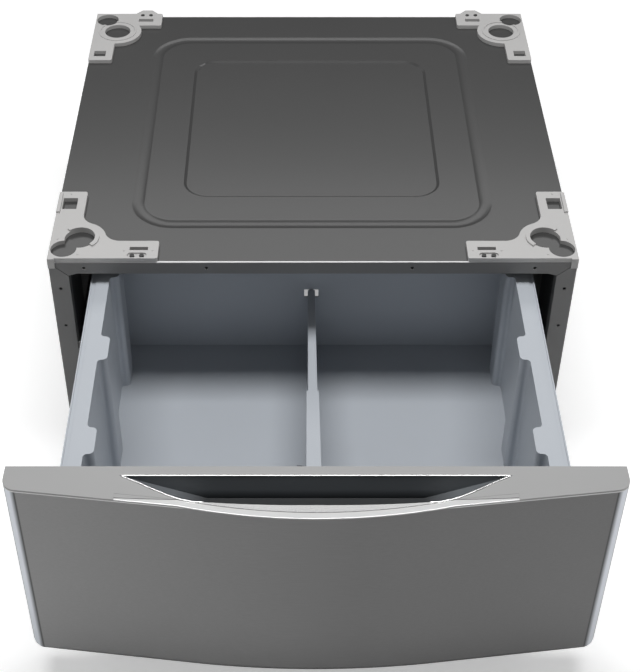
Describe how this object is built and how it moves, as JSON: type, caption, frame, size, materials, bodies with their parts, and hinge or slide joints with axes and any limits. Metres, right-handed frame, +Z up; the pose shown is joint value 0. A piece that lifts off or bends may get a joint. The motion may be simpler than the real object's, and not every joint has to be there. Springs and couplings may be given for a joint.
{
  "type": "washer pedestal drawer",
  "caption": "Low steel pedestal that lifts a washer or dryer, with a wide pull-out drawer, bowed front, finger scoop and corner brackets for the machine's feet.",
  "frame": {"origin": "on the floor at the centre of the four levelling feet", "axes": "+Z up, +Y from the drawer front towards the back, +X to the right seen from the front"},
  "size_m": [0.686, 1.068, 0.354],
  "materials": {
    "cabinet_paint": "satin",
    "top_paint": "matte",
    "inner_steel": "satin",
    "skin_paint": "satin",
    "zinc": "satin",
    "trim_metal": "satin",
    "bracket_plastic": "matte",
    "tub_plastic": "matte",
    "cap_plastic": "satin",
    "frame_plastic": "matte",
    "cage_plastic": "matte",
    "foot_rubber": "matte"
  },
  "bodies": {
    "cabinet": {"left_side_panel": "cabinet_paint", "right_side_panel": "cabinet_paint", "top_plate": "top_paint", "rear_panel": "cabinet_paint", "front_rail": "inner_steel", "front_base_rail": "inner_steel", "rear_base_rail": "inner_steel", "foot_plates": "zinc", "left_front_post": "inner_steel", "right_front_post": "inner_steel", "left_rear_post": "inner_steel", "right_rear_post": "inner_steel", "front_left_bracket": "bracket_plastic", "front_right_bracket": "bracket_plastic", "rear_left_bracket": "bracket_plastic", "rear_right_bracket": "bracket_plastic", "bracket_screws": "zinc", "panel_screws": "zinc", "foot_lock_nuts": "zinc", "left_outer_rail": "zinc", "right_outer_rail": "zinc", "slide_rivets": "zinc"},
    "drawer": {"drawer_tub": "tub_plastic", "divider": "tub_plastic", "tub_screws": "zinc", "front_frame": "frame_plastic", "front_skin": "skin_paint", "top_cap": "cap_plastic", "handle_trim": "trim_metal", "front_bumpers": "foot_rubber", "left_carrier": "zinc", "right_carrier": "zinc", "carrier_screws": "zinc", "left_inner_rail": "zinc", "right_inner_rail": "zinc"},
    "left_mid": {"left_mid_rail": "zinc"},
    "left_outer_cage": {"left_outer_cage": "cage_plastic", "left_outer_balls": "zinc"},
    "left_inner_cage": {"left_inner_cage": "cage_plastic", "left_inner_balls": "zinc"},
    "left_lever": {"left_release_lever": "cage_plastic"},
    "right_mid": {"right_mid_rail": "zinc"},
    "right_outer_cage": {"right_outer_cage": "cage_plastic", "right_outer_balls": "zinc"},
    "right_inner_cage": {"right_inner_cage": "cage_plastic", "right_inner_balls": "zinc"},
    "right_lever": {"right_release_lever": "cage_plastic"},
    "front_left_foot": {"front_left_foot": "foot_rubber"},
    "front_right_foot": {"front_right_foot": "foot_rubber"},
    "rear_left_foot": {"rear_left_foot": "foot_rubber"},
    "rear_right_foot": {"rear_right_foot": "foot_rubber"}
  },
  "joints": [
    {"name": "drawer_slide", "type": "slide", "parent": "cabinet", "child": "drawer", "axis": [0, -1, 0], "range_m": [-0.354, 0.048]},
    {"name": "left_mid_slide", "type": "slide", "parent": "cabinet", "child": "left_mid", "axis": [0, -1, 0], "range_m": [-0.178, 0.025]},
    {"name": "left_outer_cage_roll", "type": "slide", "parent": "cabinet", "child": "left_outer_cage", "axis": [0, -1, 0], "range_m": [-0.0895, 0.013]},
    {"name": "left_inner_cage_roll", "type": "slide", "parent": "cabinet", "child": "left_inner_cage", "axis": [0, -1, 0], "range_m": [-0.2665, 0.037]},
    {"name": "left_lever_pivot", "type": "hinge", "parent": "drawer", "child": "left_lever", "pos_m": [-0.3086, -0.365, 0.18], "axis": [1, 0, 0], "range_deg": [-6, 6], "stiffness_Nm_per_rad": 0.05},
    {"name": "right_mid_slide", "type": "slide", "parent": "cabinet", "child": "right_mid", "axis": [0, -1, 0], "range_m": [-0.178, 0.025]},
    {"name": "right_outer_cage_roll", "type": "slide", "parent": "cabinet", "child": "right_outer_cage", "axis": [0, -1, 0], "range_m": [-0.0895, 0.013]},
    {"name": "right_inner_cage_roll", "type": "slide", "parent": "cabinet", "child": "right_inner_cage", "axis": [0, -1, 0], "range_m": [-0.2665, 0.037]},
    {"name": "right_lever_pivot", "type": "hinge", "parent": "drawer", "child": "right_lever", "pos_m": [0.3086, -0.365, 0.18], "axis": [1, 0, 0], "range_deg": [-6, 6], "stiffness_Nm_per_rad": 0.05},
    {"name": "front_left_foot_screw", "type": "slide", "parent": "cabinet", "child": "front_left_foot", "axis": [0, 0, -1], "range_m": [-0.004, 0.018]},
    {"name": "front_right_foot_screw", "type": "slide", "parent": "cabinet", "child": "front_right_foot", "axis": [0, 0, -1], "range_m": [-0.004, 0.018]},
    {"name": "rear_left_foot_screw", "type": "slide", "parent": "cabinet", "child": "rear_left_foot", "axis": [0, 0, -1], "range_m": [-0.004, 0.018]},
    {"name": "rear_right_foot_screw", "type": "slide", "parent": "cabinet", "child": "rear_right_foot", "axis": [0, 0, -1], "range_m": [-0.004, 0.018]}
  ],
  "couplings": [
    {"joint": "left_mid_slide", "follows": "drawer_slide", "ratio": 0.5},
    {"joint": "left_outer_cage_roll", "follows": "drawer_slide", "ratio": 0.25},
    {"joint": "left_inner_cage_roll", "follows": "drawer_slide", "ratio": 0.75},
    {"joint": "right_mid_slide", "follows": "drawer_slide", "ratio": 0.5},
    {"joint": "right_outer_cage_roll", "follows": "drawer_slide", "ratio": 0.25},
    {"joint": "right_inner_cage_roll", "follows": "drawer_slide", "ratio": 0.75}
  ]
}
